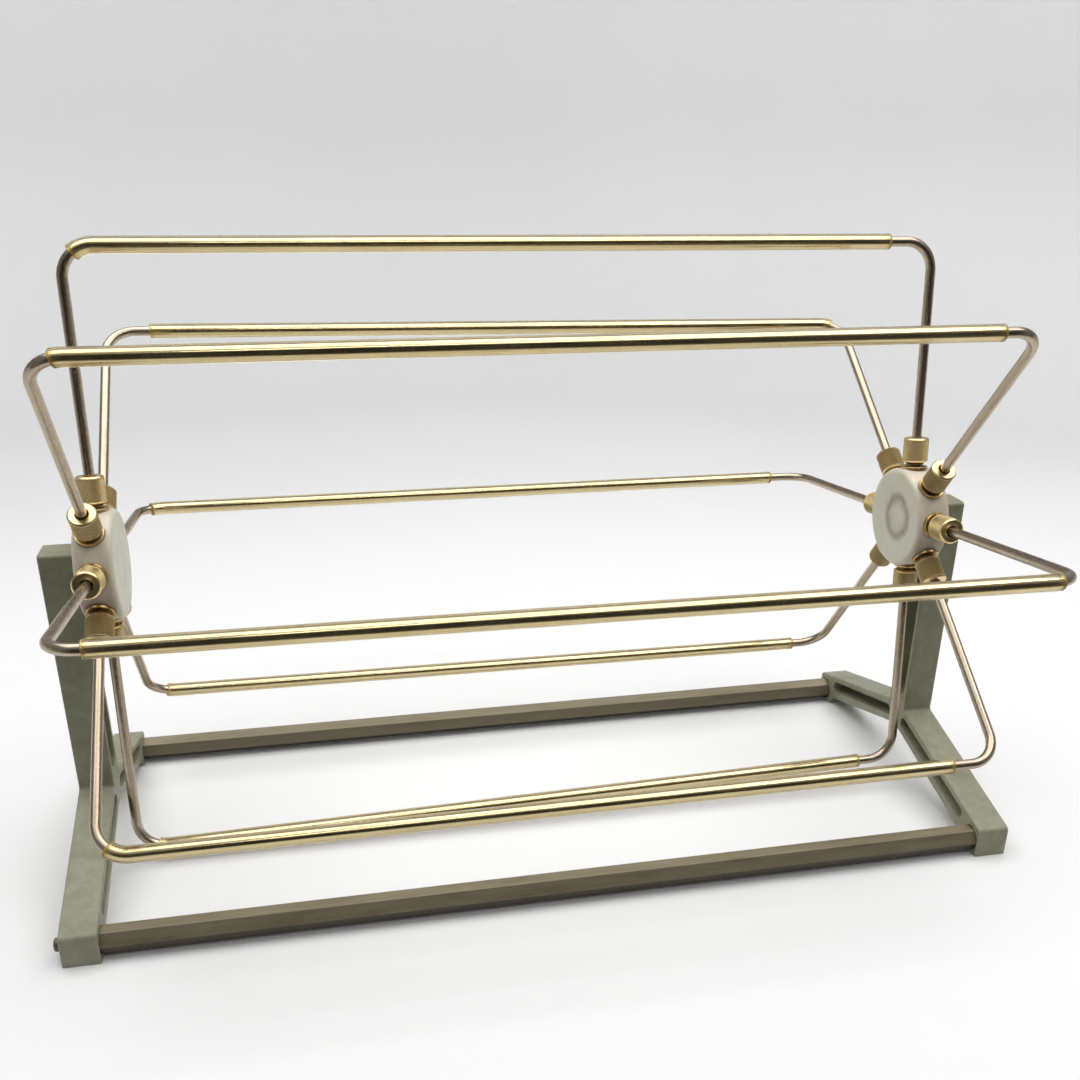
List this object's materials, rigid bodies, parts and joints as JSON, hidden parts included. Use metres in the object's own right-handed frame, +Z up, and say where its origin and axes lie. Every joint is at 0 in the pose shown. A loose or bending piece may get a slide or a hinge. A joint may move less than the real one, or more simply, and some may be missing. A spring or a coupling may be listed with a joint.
{
  "type": "winding reel stand",
  "caption": "Tabletop reel: U-shaped rod arms with plastic sleeves clamped radially in round hubs by knurled nuts, turning freely between inverted-Y stands joined by hexagonal bars.",
  "frame": {"origin": "on the table, midway between the stands and straight below the reel axis", "axes": "+X along the reel axis towards the right stand, +Z up, -Y towards the front tie bar"},
  "size_m": [0.464, 0.29, 0.2941],
  "materials": {
    "arm_rod": "drawn rod, warm tarnish",
    "arm_sleeve": "translucent aged amber tubing",
    "hub": "milky natural nylon, satin",
    "clamp_brass": "turned, dull",
    "nut_brass": "diamond knurl, dull",
    "grip_ring": "matt black",
    "stand": "sage grey-green satin moulding",
    "tie_bar": "taupe anodised, lengthwise drawn",
    "screw_steel": "dark oxide",
    "pin_steel": "turned",
    "washer": "nylon"
  },
  "bodies": {
    "frame": {"left_stand": "stand", "right_stand": "stand", "front_tie_bar": "tie_bar", "rear_tie_bar": "tie_bar", "tie_bar_screws": "screw_steel", "axle_pins": "pin_steel", "thrust_washers": "washer"},
    "reel": {"left_hub": "hub", "right_hub": "hub", "left_clamp_bodies": "clamp_brass", "right_clamp_bodies": "clamp_brass"},
    "arm_1": {"arm_1_rod": "arm_rod", "arm_1_sleeve": "arm_sleeve"},
    "arm_2": {"arm_2_rod": "arm_rod", "arm_2_sleeve": "arm_sleeve"},
    "arm_3": {"arm_3_rod": "arm_rod", "arm_3_sleeve": "arm_sleeve"},
    "arm_4": {"arm_4_rod": "arm_rod", "arm_4_sleeve": "arm_sleeve"},
    "arm_5": {"arm_5_rod": "arm_rod", "arm_5_sleeve": "arm_sleeve"},
    "arm_6": {"arm_6_rod": "arm_rod", "arm_6_sleeve": "arm_sleeve"},
    "arm_7": {"arm_7_rod": "arm_rod", "arm_7_sleeve": "arm_sleeve"},
    "arm_8": {"arm_8_rod": "arm_rod", "arm_8_sleeve": "arm_sleeve"},
    "left_ring_1": {"left_grip_ring_1": "grip_ring"},
    "left_nut_1": {"left_nut_1": "nut_brass"},
    "left_ring_2": {"left_grip_ring_2": "grip_ring"},
    "left_nut_2": {"left_nut_2": "nut_brass"},
    "left_ring_3": {"left_grip_ring_3": "grip_ring"},
    "left_nut_3": {"left_nut_3": "nut_brass"},
    "left_ring_4": {"left_grip_ring_4": "grip_ring"},
    "left_nut_4": {"left_nut_4": "nut_brass"},
    "left_ring_5": {"left_grip_ring_5": "grip_ring"},
    "left_nut_5": {"left_nut_5": "nut_brass"},
    "left_ring_6": {"left_grip_ring_6": "grip_ring"},
    "left_nut_6": {"left_nut_6": "nut_brass"},
    "left_ring_7": {"left_grip_ring_7": "grip_ring"},
    "left_nut_7": {"left_nut_7": "nut_brass"},
    "left_ring_8": {"left_grip_ring_8": "grip_ring"},
    "left_nut_8": {"left_nut_8": "nut_brass"},
    "right_ring_1": {"right_grip_ring_1": "grip_ring"},
    "right_nut_1": {"right_nut_1": "nut_brass"},
    "right_ring_2": {"right_grip_ring_2": "grip_ring"},
    "right_nut_2": {"right_nut_2": "nut_brass"},
    "right_ring_3": {"right_grip_ring_3": "grip_ring"},
    "right_nut_3": {"right_nut_3": "nut_brass"},
    "right_ring_4": {"right_grip_ring_4": "grip_ring"},
    "right_nut_4": {"right_nut_4": "nut_brass"},
    "right_ring_5": {"right_grip_ring_5": "grip_ring"},
    "right_nut_5": {"right_nut_5": "nut_brass"},
    "right_ring_6": {"right_grip_ring_6": "grip_ring"},
    "right_nut_6": {"right_nut_6": "nut_brass"},
    "right_ring_7": {"right_grip_ring_7": "grip_ring"},
    "right_nut_7": {"right_nut_7": "nut_brass"},
    "right_ring_8": {"right_grip_ring_8": "grip_ring"},
    "right_nut_8": {"right_nut_8": "nut_brass"}
  },
  "joints": [
    {"name": "reel_spin", "type": "hinge", "parent": "frame", "child": "reel", "pos_m": [0, 0, 0.1524], "axis": [1, 0, 0], "continuous": true},
    {"name": "arm_1_slide", "type": "slide", "parent": "reel", "child": "arm_1", "axis": [0, 0.1236, 0.9923], "range_m": [-0.006, 0.0025]},
    {"name": "arm_2_slide", "type": "slide", "parent": "reel", "child": "arm_2", "axis": [0, -0.6143, 0.7891], "range_m": [-0.006, 0.0025]},
    {"name": "arm_3_slide", "type": "slide", "parent": "reel", "child": "arm_3", "axis": [0, -0.9923, 0.1236], "range_m": [-0.006, 0.0025]},
    {"name": "arm_4_slide", "type": "slide", "parent": "reel", "child": "arm_4", "axis": [0, -0.7891, -0.6143], "range_m": [-0.006, 0.0025]},
    {"name": "arm_5_slide", "type": "slide", "parent": "reel", "child": "arm_5", "axis": [0, -0.1236, -0.9923], "range_m": [-0.006, 0.0025]},
    {"name": "arm_6_slide", "type": "slide", "parent": "reel", "child": "arm_6", "axis": [0, 0.6143, -0.7891], "range_m": [-0.006, 0.0025]},
    {"name": "arm_7_slide", "type": "slide", "parent": "reel", "child": "arm_7", "axis": [0, 0.9923, -0.1236], "range_m": [-0.006, 0.0025]},
    {"name": "arm_8_slide", "type": "slide", "parent": "reel", "child": "arm_8", "axis": [0, 0.7891, 0.6143], "range_m": [-0.006, 0.0025]},
    {"name": "left_nut_1_advance", "type": "slide", "parent": "reel", "child": "left_ring_1", "axis": [0, 0.1236, 0.9923], "range_m": [0, 0.002]},
    {"name": "left_nut_1_turn", "type": "hinge", "parent": "left_ring_1", "child": "left_nut_1", "pos_m": [-0.2032, 0.00433, 0.18713], "axis": [0, 0.1236, 0.9923], "range_deg": [0, 720]},
    {"name": "left_nut_2_advance", "type": "slide", "parent": "reel", "child": "left_ring_2", "axis": [0, -0.6143, 0.7891], "range_m": [0, 0.002]},
    {"name": "left_nut_2_turn", "type": "hinge", "parent": "left_ring_2", "child": "left_nut_2", "pos_m": [-0.2032, -0.0215, 0.18002], "axis": [0, -0.6143, 0.7891], "range_deg": [0, 720]},
    {"name": "left_nut_3_advance", "type": "slide", "parent": "reel", "child": "left_ring_3", "axis": [0, -0.9923, 0.1236], "range_m": [0, 0.002]},
    {"name": "left_nut_3_turn", "type": "hinge", "parent": "left_ring_3", "child": "left_nut_3", "pos_m": [-0.2032, -0.03473, 0.15673], "axis": [0, -0.9923, 0.1236], "range_deg": [0, 720]},
    {"name": "left_nut_4_advance", "type": "slide", "parent": "reel", "child": "left_ring_4", "axis": [0, -0.7891, -0.6143], "range_m": [0, 0.002]},
    {"name": "left_nut_4_turn", "type": "hinge", "parent": "left_ring_4", "child": "left_nut_4", "pos_m": [-0.2032, -0.02762, 0.1309], "axis": [0, -0.7891, -0.6143], "range_deg": [0, 720]},
    {"name": "left_nut_5_advance", "type": "slide", "parent": "reel", "child": "left_ring_5", "axis": [0, -0.1236, -0.9923], "range_m": [0, 0.002]},
    {"name": "left_nut_5_turn", "type": "hinge", "parent": "left_ring_5", "child": "left_nut_5", "pos_m": [-0.2032, -0.00433, 0.11767], "axis": [0, -0.1236, -0.9923], "range_deg": [0, 720]},
    {"name": "left_nut_6_advance", "type": "slide", "parent": "reel", "child": "left_ring_6", "axis": [0, 0.6143, -0.7891], "range_m": [0, 0.002]},
    {"name": "left_nut_6_turn", "type": "hinge", "parent": "left_ring_6", "child": "left_nut_6", "pos_m": [-0.2032, 0.0215, 0.12478], "axis": [0, 0.6143, -0.7891], "range_deg": [0, 720]},
    {"name": "left_nut_7_advance", "type": "slide", "parent": "reel", "child": "left_ring_7", "axis": [0, 0.9923, -0.1236], "range_m": [0, 0.002]},
    {"name": "left_nut_7_turn", "type": "hinge", "parent": "left_ring_7", "child": "left_nut_7", "pos_m": [-0.2032, 0.03473, 0.14807], "axis": [0, 0.9923, -0.1236], "range_deg": [0, 720]},
    {"name": "left_nut_8_advance", "type": "slide", "parent": "reel", "child": "left_ring_8", "axis": [0, 0.7891, 0.6143], "range_m": [0, 0.002]},
    {"name": "left_nut_8_turn", "type": "hinge", "parent": "left_ring_8", "child": "left_nut_8", "pos_m": [-0.2032, 0.02762, 0.1739], "axis": [0, 0.7891, 0.6143], "range_deg": [0, 720]},
    {"name": "right_nut_1_advance", "type": "slide", "parent": "reel", "child": "right_ring_1", "axis": [0, 0.1236, 0.9923], "range_m": [0, 0.002]},
    {"name": "right_nut_1_turn", "type": "hinge", "parent": "right_ring_1", "child": "right_nut_1", "pos_m": [0.2032, 0.00433, 0.18713], "axis": [0, 0.1236, 0.9923], "range_deg": [0, 720]},
    {"name": "right_nut_2_advance", "type": "slide", "parent": "reel", "child": "right_ring_2", "axis": [0, -0.6143, 0.7891], "range_m": [0, 0.002]},
    {"name": "right_nut_2_turn", "type": "hinge", "parent": "right_ring_2", "child": "right_nut_2", "pos_m": [0.2032, -0.0215, 0.18002], "axis": [0, -0.6143, 0.7891], "range_deg": [0, 720]},
    {"name": "right_nut_3_advance", "type": "slide", "parent": "reel", "child": "right_ring_3", "axis": [0, -0.9923, 0.1236], "range_m": [0, 0.002]},
    {"name": "right_nut_3_turn", "type": "hinge", "parent": "right_ring_3", "child": "right_nut_3", "pos_m": [0.2032, -0.03473, 0.15673], "axis": [0, -0.9923, 0.1236], "range_deg": [0, 720]},
    {"name": "right_nut_4_advance", "type": "slide", "parent": "reel", "child": "right_ring_4", "axis": [0, -0.7891, -0.6143], "range_m": [0, 0.002]},
    {"name": "right_nut_4_turn", "type": "hinge", "parent": "right_ring_4", "child": "right_nut_4", "pos_m": [0.2032, -0.02762, 0.1309], "axis": [0, -0.7891, -0.6143], "range_deg": [0, 720]},
    {"name": "right_nut_5_advance", "type": "slide", "parent": "reel", "child": "right_ring_5", "axis": [0, -0.1236, -0.9923], "range_m": [0, 0.002]},
    {"name": "right_nut_5_turn", "type": "hinge", "parent": "right_ring_5", "child": "right_nut_5", "pos_m": [0.2032, -0.00433, 0.11767], "axis": [0, -0.1236, -0.9923], "range_deg": [0, 720]},
    {"name": "right_nut_6_advance", "type": "slide", "parent": "reel", "child": "right_ring_6", "axis": [0, 0.6143, -0.7891], "range_m": [0, 0.002]},
    {"name": "right_nut_6_turn", "type": "hinge", "parent": "right_ring_6", "child": "right_nut_6", "pos_m": [0.2032, 0.0215, 0.12478], "axis": [0, 0.6143, -0.7891], "range_deg": [0, 720]},
    {"name": "right_nut_7_advance", "type": "slide", "parent": "reel", "child": "right_ring_7", "axis": [0, 0.9923, -0.1236], "range_m": [0, 0.002]},
    {"name": "right_nut_7_turn", "type": "hinge", "parent": "right_ring_7", "child": "right_nut_7", "pos_m": [0.2032, 0.03473, 0.14807], "axis": [0, 0.9923, -0.1236], "range_deg": [0, 720]},
    {"name": "right_nut_8_advance", "type": "slide", "parent": "reel", "child": "right_ring_8", "axis": [0, 0.7891, 0.6143], "range_m": [0, 0.002]},
    {"name": "right_nut_8_turn", "type": "hinge", "parent": "right_ring_8", "child": "right_nut_8", "pos_m": [0.2032, 0.02762, 0.1739], "axis": [0, 0.7891, 0.6143], "range_deg": [0, 720]}
  ],
  "couplings": [
    {"joint": "left_nut_1_turn", "follows": "left_nut_1_advance", "rad_per_m": 6283.2},
    {"joint": "left_nut_2_turn", "follows": "left_nut_2_advance", "rad_per_m": 6283.2},
    {"joint": "left_nut_3_turn", "follows": "left_nut_3_advance", "rad_per_m": 6283.2},
    {"joint": "left_nut_4_turn", "follows": "left_nut_4_advance", "rad_per_m": 6283.2},
    {"joint": "left_nut_5_turn", "follows": "left_nut_5_advance", "rad_per_m": 6283.2},
    {"joint": "left_nut_6_turn", "follows": "left_nut_6_advance", "rad_per_m": 6283.2},
    {"joint": "left_nut_7_turn", "follows": "left_nut_7_advance", "rad_per_m": 6283.2},
    {"joint": "left_nut_8_turn", "follows": "left_nut_8_advance", "rad_per_m": 6283.2},
    {"joint": "right_nut_1_turn", "follows": "right_nut_1_advance", "rad_per_m": 6283.2},
    {"joint": "right_nut_2_turn", "follows": "right_nut_2_advance", "rad_per_m": 6283.2},
    {"joint": "right_nut_3_turn", "follows": "right_nut_3_advance", "rad_per_m": 6283.2},
    {"joint": "right_nut_4_turn", "follows": "right_nut_4_advance", "rad_per_m": 6283.2},
    {"joint": "right_nut_5_turn", "follows": "right_nut_5_advance", "rad_per_m": 6283.2},
    {"joint": "right_nut_6_turn", "follows": "right_nut_6_advance", "rad_per_m": 6283.2},
    {"joint": "right_nut_7_turn", "follows": "right_nut_7_advance", "rad_per_m": 6283.2},
    {"joint": "right_nut_8_turn", "follows": "right_nut_8_advance", "rad_per_m": 6283.2}
  ]
}
